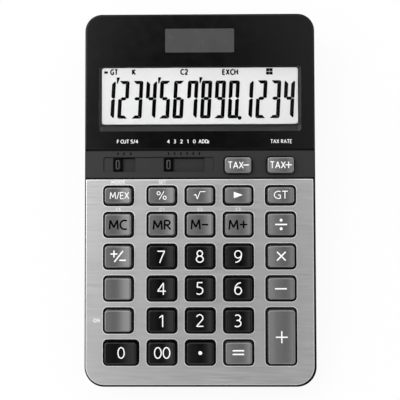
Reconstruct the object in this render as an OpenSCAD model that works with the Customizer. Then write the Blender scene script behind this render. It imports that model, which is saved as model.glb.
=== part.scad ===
// Desk calculator: wedge-shaped case, three face plates, LCD, solar cell, sprung keys and two slide switches.
// Frame: +X to the user's right, +Y away from the user, +Z up; origin under the middle, on the desk.
// "Face frame" below means: u along X, v up the sloping face, w out of the face, with w = 0 on the plates.

/* [Case] */
// Width of the case, across the keys
case_w = 109; // [107:0.5:114]
// Depth of the case on the desk, front to back
case_d = 175.6; // [173:0.2:182]
// Height of the face at its rear edge, feet included
case_h = 28.4; // [27.4:0.2:34]
// Slope of the face, in degrees
face_tilt = 5; // [4.5:0.1:5.2]
// Corner radius at the front, seen from above
front_corner_r = 9.3; // [7:0.1:11]
// Corner radius at the rear, seen from above
rear_corner_r = 8; // [7:0.1:11]
// Draft of the rear cover's side walls, in degrees
cover_draft = 4; // [2:0.5:5]

/* [Face plates] */
// Thickness of the three face plates
plate_t = 1.2; // [1.1:0.1:1.4]
// Where the display panel ends, measured up the face from its middle
display_edge_v = 23.65; // [23.45:0.05:24]
// Where the switch plate ends, measured up the face from its middle
switch_edge_v = 10.15; // [9.9:0.05:10.4]
// Gap between neighbouring plates
plate_gap = 0.5; // [0.3:0.1:0.7]

/* [Keys] */
// Spacing of the three inner key columns
inner_pitch = 18; // [17.8:0.05:18.2]
// Spacing from the inner columns to the leftmost one
left_pitch = 20.5; // [20:0.05:20.7]
// Spacing from the inner columns to the rightmost one
right_pitch = 20; // [19.8:0.05:20.5]
// Spacing of the key rows
row_pitch = 15; // [14.8:0.05:15.1]
// Width of a standard key well
well_w = 14.7; // [14.3:0.1:15]
// Height of a standard key well
well_h = 12.4; // [12:0.1:12.6]
// Height of a key top above the plates
key_rise = 3.0; // [2.4:0.1:3.4]
// How far a key travels
key_travel = 1.5; // [1:0.1:1.6]
// How deep the hollow in a key top is
dish_depth = 0.35; // [0.1:0.05:0.5]

/* [Display] */
// Width of the display window
window_w = 96.4; // [92:0.2:97]
// Height of the display window
window_h = 31.5; // [30:0.1:31.8]
// Width of the solar window
solar_w = 32.8; // [28:0.2:36]
// Height of the solar window
solar_h = 11.4; // [10:0.2:12]

/* [Slide switches] */
// Distance between two switch positions
detent_pitch = 2.95; // [2.9:0.05:3]
// Width of a switch knob
knob_w = 4.5; // [4:0.1:4.6]
// Height of a switch slot, up the face
slot_h = 6.7; // [6.4:0.1:6.8]

/* [Hidden] */
$fn = 48;
eps = 0.01;
far = 400;

// Case, worked out from the driving sizes
foot_h = 0.9;
floor_t = 1.8;
floor_z = foot_h + floor_t;
wall_t = 2;
rim_w = 0.5;              // width of the case's rim round the plates
rim_drop = 0.25;          // how far the rim stands below the plates
plate_play = 0.05;
deck_t = 1.6;
deck_top = -plate_t;
deck_under = deck_top - deck_t;
parting_w = -8;
face_z = case_h - case_d / 2 * tan(face_tilt);
face_l = case_d / cos(face_tilt);
lip_t = 0.9;
lip_rise = 1.4;
lip_play = 0.1;
lip_root = 0.2;
cover_inset = 0.25;
cover_wall = 3;
cover_edge_r = 2.5;
cover_flare = 0.6;        // how far outside the case the drafted walls meet the top height
function face_height(y) = face_z + y * tan(face_tilt);

// Keys
columns = [-inner_pitch - left_pitch, -inner_pitch, 0, inner_pitch, inner_pitch + right_pitch];
memory_row_v = -12.15;
top_row_v = 1.6;
tax_row_v = 15.8;
function row_v(n) = memory_row_v - row_pitch * n;
short_well_h = 9.8;
zero_well_w = 17.2;
add_well_w = well_w + 0.2;
tax_well_w = 13.7;
tax_well_h = 8.7;
well_r = 1.9;
well_margin = 1.05;       // from the well's edge in to the key cap
narrow_margin = 0.5;      // the same, on the keys of the switch plate
key_play = 0.25;          // between the key cap and its hole in the deck
cap_r = 1.5;
cap_lean = 0.25;          // how far each side leans in over the key's rise
cap_skirt = 0.3;          // straight part of the cap above the plates
flange_t = 1;
flange_grow = 0.55;       // how far the retaining flange reaches past the hole in the deck
flange_gap = 0.1;
flange_top = deck_under - flange_gap;
stem_d = 4;
stem_rest_w = -5.2;

// Each key: name, u, v, well width, well height, margin to the cap, colour
grey = "dimgray";
black = [0.09, 0.09, 0.09];
top_names = ["key_exchange", "key_percent", "key_root", "key_backspace", "key_grand_total"];
pad_names = [
    ["key_memory_clear", "key_memory_recall", "key_memory_minus", "key_memory_plus", "key_divide"],
    ["key_sign", "key_7", "key_8", "key_9", "key_multiply"],
    ["key_clear", "key_4", "key_5", "key_6", "key_subtract"],
    ["key_all_clear", "key_1", "key_2", "key_3"],
];
function pad_colour(row, col) = row > 0 && col > 0 && col < 4 ? black : grey;
zero_u = columns[0] + (zero_well_w - well_w) / 2;
add_v = (row_v(3) + row_v(4)) / 2;
KEYS = concat(
    [["key_tax_minus", columns[3], tax_row_v, tax_well_w, tax_well_h, narrow_margin, grey],
     ["key_tax_plus", columns[4], tax_row_v, tax_well_w, tax_well_h, narrow_margin, grey]],
    [for (c = [0 : 4]) [top_names[c], columns[c], top_row_v, well_w, short_well_h, well_margin, grey]],
    [for (r = [0 : 3]) for (c = [0 : len(pad_names[r]) - 1])
        [pad_names[r][c], columns[c], row_v(r), well_w, well_h, well_margin, pad_colour(r, c)]],
    [["key_0", zero_u, row_v(4), zero_well_w, well_h, well_margin, black],
     ["key_00", columns[1], row_v(4), well_w, well_h, well_margin, black],
     ["key_point", columns[2], row_v(4), well_w, well_h, well_margin, black],
     ["key_equals", columns[3], row_v(4), well_w, well_h, well_margin, grey],
     ["key_add", columns[4], add_v, add_well_w, well_h + row_pitch, well_margin, grey]]
);
function cap_w(key) = key[3] - 2 * key[5];
function cap_h(key) = key[4] - 2 * key[5];

// Slide switches: name of the knob, name of its wiper, u of the first position, number of positions
SWITCHES = [
    ["rounding_knob", "rounding_wiper", columns[0], 3],
    ["decimal_knob", "decimal_wiper", -14.55, 6],
];
function switch_travel(s) = (s[3] - 1) * detent_pitch;
switch_v = 16.25;
trough_u = [-45.5, 6.4];
trough_depth = 0.4;
slot_depth = 0.9;
slot_play = 0.1;
slit_h = 0.9;
slit_v = switch_v + (slot_h - slit_h) / 2;
knob_lift = 0.1;          // between a knob and the floor of its slot
knob_rise = 0.9;
ridge_w = 2;
ridge_h = 4.8;
groove_w = 0.5;
groove_depth = 0.4;
groove_end = 0.7;
knob_stem_w = 3.4;
knob_stem_t = 0.6;
knob_foot_t = 1;
knob_foot_h = 3.6;
knob_foot_top = deck_under - 0.1;
wiper_t = 0.3;
wiper_w = 3.6;
finger_h = 0.8;

// Display and solar cell
window_v = 47.9;
glass_r = 1.2;
lcd_view_w = window_w - 2.4;
lcd_view_h = window_h - 4.3;
lcd_view_v = window_v + 1.6;
lcd_view_r = 0.8;
lcd_w = window_w + 2;
lcd_h = window_h + 3.1;
lcd_t = 2.2;
lcd_bare_edge = 1.5;      // how far the rear glass reaches past the front one, for its contacts
bezel_depth = 2.4;
bezel_sill = 0.3;
bezel_shelf = 0.3;        // what the window rests on, all round
bezel_rim = 0.7;
solar_v = 75.45;
solar_rim = 0.8;
solar_t = 1.1;
lcd_top = deck_top - bezel_depth;

// Circuit board and key mat
board_t = 1.2;
board_top = -8.2;
board_under = board_top - board_t;
board_w = case_w - 18.4;
board_front_v = 8.7 - face_l / 2;
board_rear_v = 67;
mat_t = 0.8;
mat_w = 89.8;
mat_front_v = board_front_v + 0.6;
mat_rear_v = 22;
dome_r = 3.4;
dome_top_r = 2.4;
dome_h = 0.55;
board_post_d = 4;
board_posts = concat(
    [for (c = [0, 3]) for (r = [0, 2]) [(columns[c] + columns[c + 1]) / 2, (row_v(r) + row_v(r + 1)) / 2]],
    [for (u = [-40, 40]) [u, 26.4]]
);
board_screw_d = 1.6;
board_screw_l = 5;
lead_d = 1;

// Case screws, in plan; the two shells meet a little below the middle of the case's height
case_bosses = [
    for (x = [-36, 36]) [x, 6 - case_d / 2],
    for (x = [-1, 1]) [x * (case_w / 2 - 6.1), -10],
    for (x = [-36, 36]) [x, case_d / 2 - 8],
];
function split_z(b) = face_height(b[1]) / 2 - 2;
boss_d = 5.6;
post_d = 6.4;
post_gap = 0.1;
screw_d = 2.1;
screw_head_d = 4.6;
screw_head_t = 1.4;
screw_seat_t = 1.5;
screw_bite = 5;

// Battery
battery_y = 45;
cell_d = 20;
cell_t = 2.5;
cell_step = 0.4;
cell_z = 3.6;
hatch_w = 25;
hatch_l = 35;
hatch_t = 1.4;
hatch_play = 0.2;
hatch_frame = 1.2;        // thicker floor round the hatch
box_inner = 24;
box_wall = 1.2;
box_top_z = 8.4;
leaf_t = 0.3;
hatch_screw_y = battery_y - hatch_l / 2 + 4;
hatch_screw_d = 1.6;
hatch_screw_l = 4.6;
hatch_screw_head_d = 3.6;
hatch_screw_head_t = 0.75;

// Feet and the recess for a rating label
foot_d = 9;
foot_seat = 0.5;
foot_chamfer = 0.3;
feet = [for (x = [-1, 1]) for (y = [13.8 - case_d / 2, case_d / 2 - 17]) [x * (case_w / 2 - 12.5), y]];
label_w = 50;
label_l = 26;
label_y = -25;
label_depth = 0.3;

// ---- shared shapes ----

// Places its children in the face frame
module on_face(u = 0, v = 0, w = 0) {
    translate([0, 0, face_z]) rotate([face_tilt, 0, 0]) translate([u, v, w]) children();
}

// A rectangle centred on the origin with round corners
module round_rect(w, h, r) {
    square([w - 2 * r, h], center = true);
    square([w, h - 2 * r], center = true);
    for (x = [-1, 1]) for (y = [-1, 1])
        translate([x * (w / 2 - r), y * (h / 2 - r)]) circle(r);
}

// A rounded block between two heights
module round_block(w, h, r, from, to) {
    translate([0, 0, from]) linear_extrude(to - from) round_rect(w, h, r);
}

// A box centred on the origin in plan, between two heights
module plain_block(w, h, from, to) {
    translate([-w / 2, -h / 2, from]) cube([w, h, to - from]);
}

// The case's outline seen from above, moved in by inset
module case_outline(inset = 0) {
    w = case_w - 2 * inset;
    d = case_d - 2 * inset;
    rf = front_corner_r - inset;
    rr = rear_corner_r - inset;
    translate([-w / 2, -d / 2 + rf]) square([w, d - rf - rr]);
    translate([-w / 2 + rf, -d / 2]) square([w - 2 * rf, rf + eps]);
    translate([-w / 2 + rr, d / 2 - rr - eps]) square([w - 2 * rr, rr + eps]);
    for (x = [-1, 1]) {
        translate([x * (w / 2 - rf), -d / 2 + rf]) circle(rf);
        translate([x * (w / 2 - rr), d / 2 - rr]) circle(rr);
    }
}

module case_column(inset = 0, from = 0, to = 40) {
    translate([0, 0, from]) linear_extrude(to - from) case_outline(inset);
}

// Everything between two depths in the face, and between two places up it
module face_slab(from, to, v_from = -far, v_to = far) {
    on_face() translate([-far / 2, v_from, from]) cube([far, v_to - v_from, to - from]);
}

// A screw with its tip up and a cross in its head; z = 0 is under the head
module screw(d, length, head_d, head_t) {
    cross_l = head_d * 0.6;
    cross_w = head_d * 0.12;
    cross_depth = head_t * 0.6;
    cylinder(d = d, h = length);
    difference() {
        translate([0, 0, -head_t]) cylinder(d = head_d, h = head_t);
        for (a = [0, 90]) rotate(a) plain_block(cross_l, cross_w, -head_t - 1, -head_t + cross_depth);
    }
}

// ---- face plates ----

// A face plate between two places up the face, inside the rim of the upper case
module face_plate(v_from, v_to) {
    intersection() {
        case_column(rim_w);
        face_slab(-plate_t, 0, v_from, v_to);
    }
}

// Holes in the face plates for the keys
module key_wells() {
    for (key = KEYS)
        on_face(key[1], key[2]) round_block(key[3], key[4], well_r, -plate_t - 1, 1);
}

module keypad_plate() {
    color("silver") difference() {
        face_plate(-far, switch_edge_v - plate_gap);
        key_wells();
    }
}

// The slit that a knob's stem slides in, along the top edge of its slot
module knob_slit(s) {
    on_face(s[2] + switch_travel(s) / 2, slit_v)
        round_block(switch_travel(s) + knob_w, slit_h, slit_h / 3, deck_under - 1, 1);
}

// The switch plate: a shallow trough with a deeper slot for each knob, and wells for two keys
module switch_plate() {
    color([0.25, 0.25, 0.25]) difference() {
        face_plate(switch_edge_v, display_edge_v - plate_gap);
        key_wells();
        on_face((trough_u[0] + trough_u[1]) / 2, switch_v)
            round_block(trough_u[1] - trough_u[0], slot_h, 0.8, -trough_depth, 1);
        for (s = SWITCHES) {
            on_face(s[2] + switch_travel(s) / 2, switch_v)
                round_block(switch_travel(s) + knob_w + 2 * slot_play, slot_h, 0.6, -slot_depth, 1);
            knob_slit(s);
        }
    }
}

module display_panel() {
    color([0.08, 0.08, 0.08]) difference() {
        face_plate(display_edge_v, far);
        on_face(0, window_v) round_block(window_w, window_h, glass_r, -plate_t - 1, 1);
        on_face(0, solar_v) round_block(solar_w, solar_h, glass_r / 2, -plate_t - 1, 1);
    }
}

module display_window() {
    color([0.9, 0.92, 0.92, 0.3]) on_face(0, window_v) round_block(window_w, window_h, glass_r, -plate_t, 0);
}

module solar_window() {
    color([0.6, 0.6, 0.6, 0.4]) on_face(0, solar_v) round_block(solar_w, solar_h, glass_r / 2, -plate_t, 0);
}

// ---- case ----

// Upper case: a deck and a rim that hold the plates, side walls down to the parting line, bosses and posts
module upper_case() {
    color([0.1, 0.1, 0.1]) difference() {
        union() {
            difference() {
                intersection() {
                    case_column();
                    face_slab(parting_w, -rim_drop);
                }
                intersection() {
                    case_column(rim_w - plate_play);
                    face_slab(deck_top, 1);
                }
                intersection() {
                    case_column(wall_t);
                    face_slab(-far / 4, deck_under);
                }
            }
            for (b = case_bosses) intersection() {
                translate([b[0], b[1], split_z(b)]) cylinder(d = boss_d, h = case_h);
                face_slab(-far / 4, deck_under + eps);
            }
            for (p = board_posts)
                on_face(p[0], p[1], board_top) cylinder(d = board_post_d, h = deck_under - board_top + eps);
        }
        for (key = KEYS)
            on_face(key[1], key[2])
                round_block(cap_w(key) + 2 * key_play, cap_h(key) + 2 * key_play, cap_r, deck_under - 1, 1);
        for (s = SWITCHES) knob_slit(s);
        on_face(0, window_v)
            round_block(window_w + 2 * bezel_rim, window_h + 2 * bezel_rim, glass_r, deck_under - 1, 1);
        on_face(0, solar_v)
            round_block(solar_w + 2 * solar_rim, solar_h + 2 * solar_rim, glass_r / 2, deck_under - 1, 1);
        for (b = case_bosses)
            translate([b[0], b[1], split_z(b) - 1]) cylinder(d = screw_d, h = screw_bite + 1.2);
        for (p = board_posts)
            on_face(p[0], p[1], board_top - 1) cylinder(d = board_screw_d, h = board_screw_l);
    }
}

// Side view of the rear cover with drafted walls and round lower edges, half_w to each side of the middle
module drafted_profile(half_w) {
    r = cover_edge_r;
    base = half_w - tan(cover_draft) * (case_h - foot_h);
    side = [r * cos(cover_draft), -r * sin(cover_draft)];
    arc_x = base - r * (1 - sin(cover_draft)) / cos(cover_draft);
    arc_z = foot_h + r;
    polygon([
        [-arc_x, foot_h], [arc_x, foot_h], [arc_x + side[0], arc_z + side[1]],
        [half_w, case_h], [-half_w, case_h], [-arc_x - side[0], arc_z + side[1]],
    ]);
    for (x = [-1, 1]) translate([x * arc_x, arc_z]) circle(r);
}

// The rear cover's outer form, below the parting line
module cover_form() {
    intersection() {
        case_column(cover_inset, foot_h);
        rotate([90, 0, 0]) linear_extrude(far, center = true) drafted_profile(case_w / 2 + cover_flare);
        rotate([90, 0, 90]) linear_extrude(far, center = true) drafted_profile(case_d / 2 + cover_flare);
        face_slab(-far / 4, parting_w);
    }
}

// What stands inside the rear cover: locating lip, screw posts, battery box
module cover_fittings() {
    intersection() {
        difference() {
            case_column(wall_t + lip_play);
            case_column(wall_t + lip_play + lip_t);
        }
        face_slab(parting_w - lip_root, parting_w + lip_rise);
    }
    for (b = case_bosses)
        translate([b[0], b[1], floor_z - eps])
            cylinder(d = post_d, h = split_z(b) - post_gap - floor_z + eps);
    translate([0, battery_y, 0]) {
        plain_block(box_inner + 2 * box_wall, box_inner + 2 * box_wall, foot_h, box_top_z);
        plain_block(hatch_w + 2 * hatch_frame, hatch_l + 2 * hatch_frame, foot_h, floor_z + hatch_frame);
    }
    translate([0, hatch_screw_y, floor_z]) cylinder(d = 5.5, h = 4.8);
}

module rear_cover() {
    color([0.07, 0.07, 0.07]) difference() {
        union() {
            difference() {
                cover_form();
                case_column(cover_wall, floor_z);
            }
            cover_fittings();
        }
        // Opening for the hatch, and the space that holds the cell
        translate([0, battery_y, 0]) {
            plain_block(hatch_w, hatch_l, -1, foot_h + hatch_t);
            plain_block(box_inner, box_inner, -1, box_top_z - box_wall);
        }
        translate([0, hatch_screw_y, -1]) cylinder(d = hatch_screw_d, h = foot_h + hatch_screw_l + 1.5);
        // Seats for the case screws, the feet and the rating label
        for (b = case_bosses) translate([b[0], b[1], -1]) {
            cylinder(d = screw_d + 0.6, h = case_h);
            cylinder(d = screw_head_d + 0.6, h = split_z(b) - screw_seat_t + 1);
        }
        for (f = feet) translate([f[0], f[1], -1]) cylinder(d = foot_d, h = foot_h + foot_seat + 1);
        translate([0, label_y, 0]) plain_block(label_w, label_l, -1, foot_h + label_depth);
    }
}

module battery_hatch() {
    rib_u = 6;
    rib_l = 16;
    color([0.07, 0.07, 0.07]) difference() {
        translate([0, battery_y, 0]) {
            plain_block(hatch_w - 2 * hatch_play, hatch_l - 2 * hatch_play, foot_h, foot_h + hatch_t);
            // Ribs that the cell lies on
            for (x = [-rib_u, rib_u]) translate([x, 0, 0]) plain_block(1, rib_l, foot_h, cell_z);
        }
        translate([0, hatch_screw_y, -1]) {
            cylinder(d = hatch_screw_d + 0.6, h = 10);
            cylinder(d = hatch_screw_head_d + 0.4, h = foot_h + hatch_screw_head_t + 1);
        }
    }
}

module rubber_feet() {
    color([0.05, 0.05, 0.05]) for (f = feet) translate([f[0], f[1], 0]) {
        cylinder(d1 = foot_d - 2 * foot_chamfer, d2 = foot_d, h = foot_chamfer);
        translate([0, 0, foot_chamfer]) cylinder(d = foot_d, h = foot_h + foot_seat - foot_chamfer);
    }
}

module case_screws() {
    color("gray") for (b = case_bosses)
        translate([b[0], b[1], split_z(b) - screw_seat_t])
            screw(screw_d, screw_seat_t + screw_bite, screw_head_d, screw_head_t);
}

module hatch_screw() {
    color("gray") translate([0, hatch_screw_y, foot_h + hatch_screw_head_t])
        screw(hatch_screw_d, hatch_screw_l, hatch_screw_head_d, hatch_screw_head_t);
}

module board_screws() {
    color("gray") for (p = board_posts)
        on_face(p[0], p[1], board_under) screw(board_screw_d, board_screw_l, 3.6, 1.1);
}

// ---- display ----

// Mask under the window: its walls lean in from the window to the visible part of the LCD
module lcd_bezel() {
    mouth_w = window_w - 2 * bezel_shelf;
    mouth_h = window_h - 2 * bezel_shelf;
    ring_w = window_w + 2 * bezel_rim;
    ring_h = window_h + 2 * bezel_rim;
    flange_w = window_w + 5;
    flange_h = window_h + 4;
    color([0.25, 0.25, 0.25]) difference() {
        on_face(0, window_v) {
            round_block(ring_w, ring_h, glass_r, lcd_top, deck_top);
            round_block(flange_w, flange_h, glass_r, lcd_top, deck_under);
        }
        on_face() hull() {
            translate([0, window_v, deck_top]) linear_extrude(1) round_rect(mouth_w, mouth_h, glass_r);
            translate([0, lcd_view_v, lcd_top + bezel_sill]) linear_extrude(eps)
                round_rect(lcd_view_w, lcd_view_h, lcd_view_r);
        }
        on_face(0, lcd_view_v)
            round_block(lcd_view_w, lcd_view_h, lcd_view_r, lcd_top - 1, lcd_top + bezel_sill + eps);
    }
}

// LCD cell: two sheets of glass, the rear one larger so that its contacts are bare
module lcd_module() {
    color([0.85, 0.87, 0.85]) on_face(0, window_v) {
        plain_block(lcd_w, lcd_h - 2 * lcd_bare_edge, lcd_top - lcd_t / 2, lcd_top);
        plain_block(lcd_w, lcd_h, lcd_top - lcd_t, lcd_top - lcd_t / 2);
    }
}

// Two rubber contact strips that join the LCD to the board
module lcd_connectors() {
    color("pink") for (side = [-1, 1])
        on_face(0, window_v + side * (lcd_h - 3) / 2) plain_block(lcd_w - 8, 2, board_top, lcd_top - lcd_t);
}

module solar_cell() {
    color([0.2, 0.16, 0.15]) on_face(0, solar_v)
        plain_block(solar_w + 2 * solar_rim, solar_h + 2 * solar_rim, deck_top - solar_t, deck_top);
}

// Two wires from the cell's back down and forward to the rear end of the board
module solar_leads() {
    lead_v = solar_v - 3;
    lead_w = board_under + board_t / 2;
    color("firebrick") for (x = [-3, 3]) on_face(x, lead_v, lead_w) {
        cylinder(d = lead_d, h = deck_top - solar_t - lead_w);
        sphere(d = lead_d);
        rotate([90, 0, 0]) cylinder(d = lead_d, h = lead_v - board_rear_v);
    }
}

// ---- electronics ----

module circuit_board() {
    color("darkgreen") difference() {
        on_face() translate([-board_w / 2, board_front_v, board_under])
            cube([board_w, board_rear_v - board_front_v, board_t]);
        for (p = board_posts)
            on_face(p[0], p[1], board_under - 1) cylinder(d = board_screw_d, h = board_t + 2);
    }
}

// Rubber mat with a dome under every key, drawn as low as a pressed key leaves it
module key_mat() {
    color([0.75, 0.75, 0.75]) difference() {
        union() {
            on_face() translate([-mat_w / 2, mat_front_v, board_top])
                cube([mat_w, mat_rear_v - mat_front_v, mat_t]);
            for (key = KEYS)
                on_face(key[1], key[2], board_top + mat_t - eps)
                    cylinder(r1 = dome_r, r2 = dome_top_r, h = dome_h + eps);
        }
        for (p = board_posts)
            on_face(p[0], p[1], board_top - 1) cylinder(d = board_post_d + 0.6, h = mat_t + 2);
        // Room for the wipers of the two switches
        for (s = SWITCHES)
            on_face(s[2] + switch_travel(s) / 2, switch_v)
                plain_block(switch_travel(s) + knob_w + 2, slot_h + 1.2, board_top - 1, board_top + 2);
    }
}

// The controller: a chip bonded to the board's underside under a drop of resin
module controller_chip() {
    color([0.06, 0.06, 0.06]) on_face(0, 5, board_under) rotate([180, 0, 0]) {
        cylinder(d = 11, h = 0.5);
        translate([0, 0, 0.5]) cylinder(d1 = 11, d2 = 7, h = 0.9);
    }
}

// Capacitors, resistors and the crystal on the board's underside
module board_components() {
    color("peru") on_face(0, 0, board_under) rotate([180, 0, 0]) {
        for (x = [-14, 14]) translate([x, -5, 0]) cylinder(d = 4, h = 4.5);
        for (i = [-2 : 2]) translate([6 * i, -16, 0]) plain_block(2, 1.25, 0, 0.8);
        translate([10, 8, 0]) plain_block(6.5, 2.2, 0, 1.8);
    }
}

module coin_cell() {
    color("gainsboro") translate([0, battery_y, cell_z]) {
        cylinder(d = cell_d, h = cell_t - cell_step);
        translate([0, 0, cell_t - cell_step]) cylinder(d = cell_d - 3, h = cell_step);
    }
}

// Leaf over the cell's face, bent up to the roof of the battery box
module battery_minus_contact() {
    leaf_w = 4;
    leaf_l = 12;
    leaf_z = cell_z + cell_t;
    color("goldenrod") translate([0, battery_y, 0]) {
        plain_block(leaf_w, leaf_l, leaf_z, leaf_z + leaf_t);
        translate([0, (leaf_l - leaf_t) / 2, 0]) plain_block(leaf_w, leaf_t, leaf_z, box_top_z - box_wall);
    }
}

// Upright strip that touches the cell's rim
module battery_plus_contact() {
    color("goldenrod") translate([(cell_d + leaf_t) / 2, battery_y, 0])
        plain_block(leaf_t, 6, cell_z, box_top_z - box_wall);
}

// Two wires from the roof of the battery box up to the board
module battery_leads() {
    lead_y = battery_y - 8;
    board_z = face_height(lead_y) + board_under / cos(face_tilt);
    color("black") for (x = [-8, 8])
        translate([x, lead_y, box_top_z])
            cylinder(d = lead_d, h = board_z - box_top_z - lead_d * tan(face_tilt));
}

// ---- moving parts ----

// Side view of a key cap that leans in above the plates; half is half its width down there
module cap_profile(half) {
    polygon([
        [-half, -far], [half, -far], [half, cap_skirt],
        [half - cap_lean, key_rise], [-half + cap_lean, key_rise], [-half, cap_skirt],
    ]);
}

// A key: drafted cap with a hollow top, retaining flange and stem
module key_cap(key) {
    w = cap_w(key);
    h = cap_h(key);
    grow = 2 * (key_play + flange_grow);
    half_dish = w / 2 - 1;
    dish_r = (pow(half_dish, 2) + pow(dish_depth, 2)) / (2 * dish_depth);
    color(key[6]) on_face(key[1], key[2]) {
        difference() {
            intersection() {
                round_block(w, h, cap_r, flange_top - eps, key_rise);
                rotate([90, 0, 0]) linear_extrude(far, center = true) cap_profile(w / 2);
                rotate([90, 0, 90]) linear_extrude(far, center = true) cap_profile(h / 2);
            }
            translate([0, 0, key_rise + dish_r - dish_depth]) rotate([90, 0, 0])
                cylinder(r = dish_r, h = far, center = true, $fn = 180);
        }
        round_block(w + grow, h + grow, cap_r, flange_top - flange_t, flange_top);
        translate([0, 0, stem_rest_w]) cylinder(d = stem_d, h = flange_top - flange_t - stem_rest_w);
    }
}

// Knob of a slide switch at its first position: block, grooved ridge, stem through the slit, foot
module switch_knob(s) {
    block_under = -slot_depth + knob_lift;
    stem_to_middle = slit_v - switch_v;
    color([0.06, 0.06, 0.06]) on_face(s[2], switch_v) {
        round_block(knob_w, slot_h - 2 * slot_play, 0.5, block_under, 0);
        difference() {
            round_block(ridge_w, ridge_h, 0.8, -eps, knob_rise);
            plain_block(groove_w, ridge_h - 2 * groove_end, knob_rise - groove_depth, knob_rise + 1);
        }
        translate([0, stem_to_middle, 0]) {
            plain_block(knob_stem_w, knob_stem_t, knob_foot_top - eps, block_under + eps);
            translate([0, knob_stem_t / 2 - knob_foot_h / 2, 0])
                plain_block(knob_w, knob_foot_h, knob_foot_top - knob_foot_t, knob_foot_top);
        }
    }
}

// Sprung contact under a knob's foot, with two fingers just over the board
module switch_wiper(s) {
    foot_under = knob_foot_top - knob_foot_t;
    finger_under = board_top + 0.15;
    color("goldenrod") on_face(s[2], slit_v - knob_foot_h / 2 + knob_stem_t / 2) {
        plain_block(wiper_w, 2.6, foot_under - wiper_t, foot_under);
        for (side = [-1, 1]) translate([0, side * finger_h, 0]) {
            translate([(wiper_t - wiper_w) / 2, 0, 0])
                plain_block(wiper_t, finger_h, finger_under, foot_under);
            translate([-wiper_w / 4, 0, 0])
                plain_block(wiper_w / 2, finger_h, finger_under, finger_under + wiper_t);
        }
    }
}

// ---- nodes ----

rear_cover();
upper_case();
display_panel();
display_window();
solar_window();
switch_plate();
keypad_plate();
lcd_bezel();
lcd_module();
lcd_connectors();
solar_cell();
solar_leads();
circuit_board();
key_mat();
controller_chip();
board_components();
board_screws();
case_screws();
battery_hatch();
hatch_screw();
coin_cell();
battery_plus_contact();
battery_minus_contact();
battery_leads();
rubber_feet();
for (s = SWITCHES) {
    switch_knob(s);
    switch_wiper(s);
}
for (key = KEYS) key_cap(key);
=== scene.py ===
# %% [markdown]
# # A desk calculator
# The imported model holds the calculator's sizes and joints. This lesson gives every surface its finish, and
# makes the pieces whose look depends on more than a plain solid: edged plates, hollowed keys, printing, the
# display. The frame is loaded first, because every piece is placed in it and rides on one of its bodies.

# %% The frame
import math

import bpy
import numpy as np
from mathutils import Matrix, Vector
from mathutils.geometry import tessellate_polygon


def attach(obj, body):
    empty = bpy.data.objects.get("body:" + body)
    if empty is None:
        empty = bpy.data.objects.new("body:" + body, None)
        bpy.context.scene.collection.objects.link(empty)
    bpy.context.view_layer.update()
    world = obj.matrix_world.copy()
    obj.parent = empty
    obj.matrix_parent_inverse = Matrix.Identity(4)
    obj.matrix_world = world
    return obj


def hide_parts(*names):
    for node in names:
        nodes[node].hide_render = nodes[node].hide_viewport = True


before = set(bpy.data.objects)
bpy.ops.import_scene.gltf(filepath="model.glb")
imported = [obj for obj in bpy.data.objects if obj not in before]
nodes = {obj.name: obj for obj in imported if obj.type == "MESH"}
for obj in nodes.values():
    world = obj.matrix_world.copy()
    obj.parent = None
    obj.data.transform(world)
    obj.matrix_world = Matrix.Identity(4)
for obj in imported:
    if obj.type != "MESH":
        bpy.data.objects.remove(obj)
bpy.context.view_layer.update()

# %% [markdown]
# ## The face frame
# Nearly everything that shows lies on a face that slopes by five degrees. It is easier to think in that
# face: u runs to the right, v up the slope and w out of it, in millimetres, with w = 0 on the plates. One
# function turns such points into metres in the frame.

# %% The face frame
TILT = math.radians(5)
CASE_W, CASE_D, CASE_H = 109.0, 175.6, 28.4
FACE_Z = CASE_H - CASE_D / 2 * math.tan(TILT)


def on_face(points):
    """Face points in mm to metres: a turn by the slope about X, then a lift to the height of the face's
    middle. y = v cos - w sin, z = v sin + w cos + lift."""
    u, v, w = np.asarray(points, float).T
    y = v * math.cos(TILT) - w * math.sin(TILT)
    z = v * math.sin(TILT) + w * math.cos(TILT) + FACE_Z
    return np.stack([u, y, z], -1) / 1000


print("the middle of the face is", round(FACE_Z, 2), "mm above the desk")

# %% [markdown]
# ## Camera
# The camera looks almost straight down on the face, from a little over a third of a metre. Such a place is
# found by matching a few known points, such as the corners of the key grid, and is best written in the face
# frame too.

# %% Camera
CAMERA_UVW = (4.107, -12.357, 354.204)
CAMERA_TURN = [math.radians(a) for a in (1.915, 0.667, -0.138)]
SENSOR_W, LENS = 36, 67.5

camera = bpy.data.objects.new("camera", bpy.data.cameras.new("camera"))
bpy.context.scene.collection.objects.link(camera)
camera.data.sensor_width, camera.data.lens = SENSOR_W, LENS
camera.data.clip_start = 0.01
turn = (Matrix.Rotation(TILT, 3, "X") @ Matrix.Rotation(CAMERA_TURN[2], 3, "Z")
        @ Matrix.Rotation(CAMERA_TURN[1], 3, "Y") @ Matrix.Rotation(CAMERA_TURN[0], 3, "X"))
camera.matrix_world = Matrix.Translation(on_face([CAMERA_UVW])[0]) @ turn.to_4x4()
bpy.context.scene.camera = camera
print("camera at", [round(v, 3) for v in camera.matrix_world.translation], "m")

# %% [markdown]
# ## Node helpers
# A finish is a small network of nodes round one shader. A few helpers keep each network to a few lines: one
# starts a material and sets the numbers that are the same all over on the shader's own sockets, the others
# add a node with its values and links.

# %% Tones and nodes
def grey(level):
    """Linear value of an 8-bit grey level: ((level / 255 + 0.055) / 1.055) to the power 2.4."""
    s = level / 255
    return s / 12.92 if s <= 0.04045 else ((s + 0.055) / 1.055) ** 2.4


def tone(*levels):
    """Linear colour of one grey level, or of a red, a green and a blue level."""
    levels = levels if len(levels) == 3 else levels * 3
    return (*[grey(level) for level in levels], 1.0)


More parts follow.
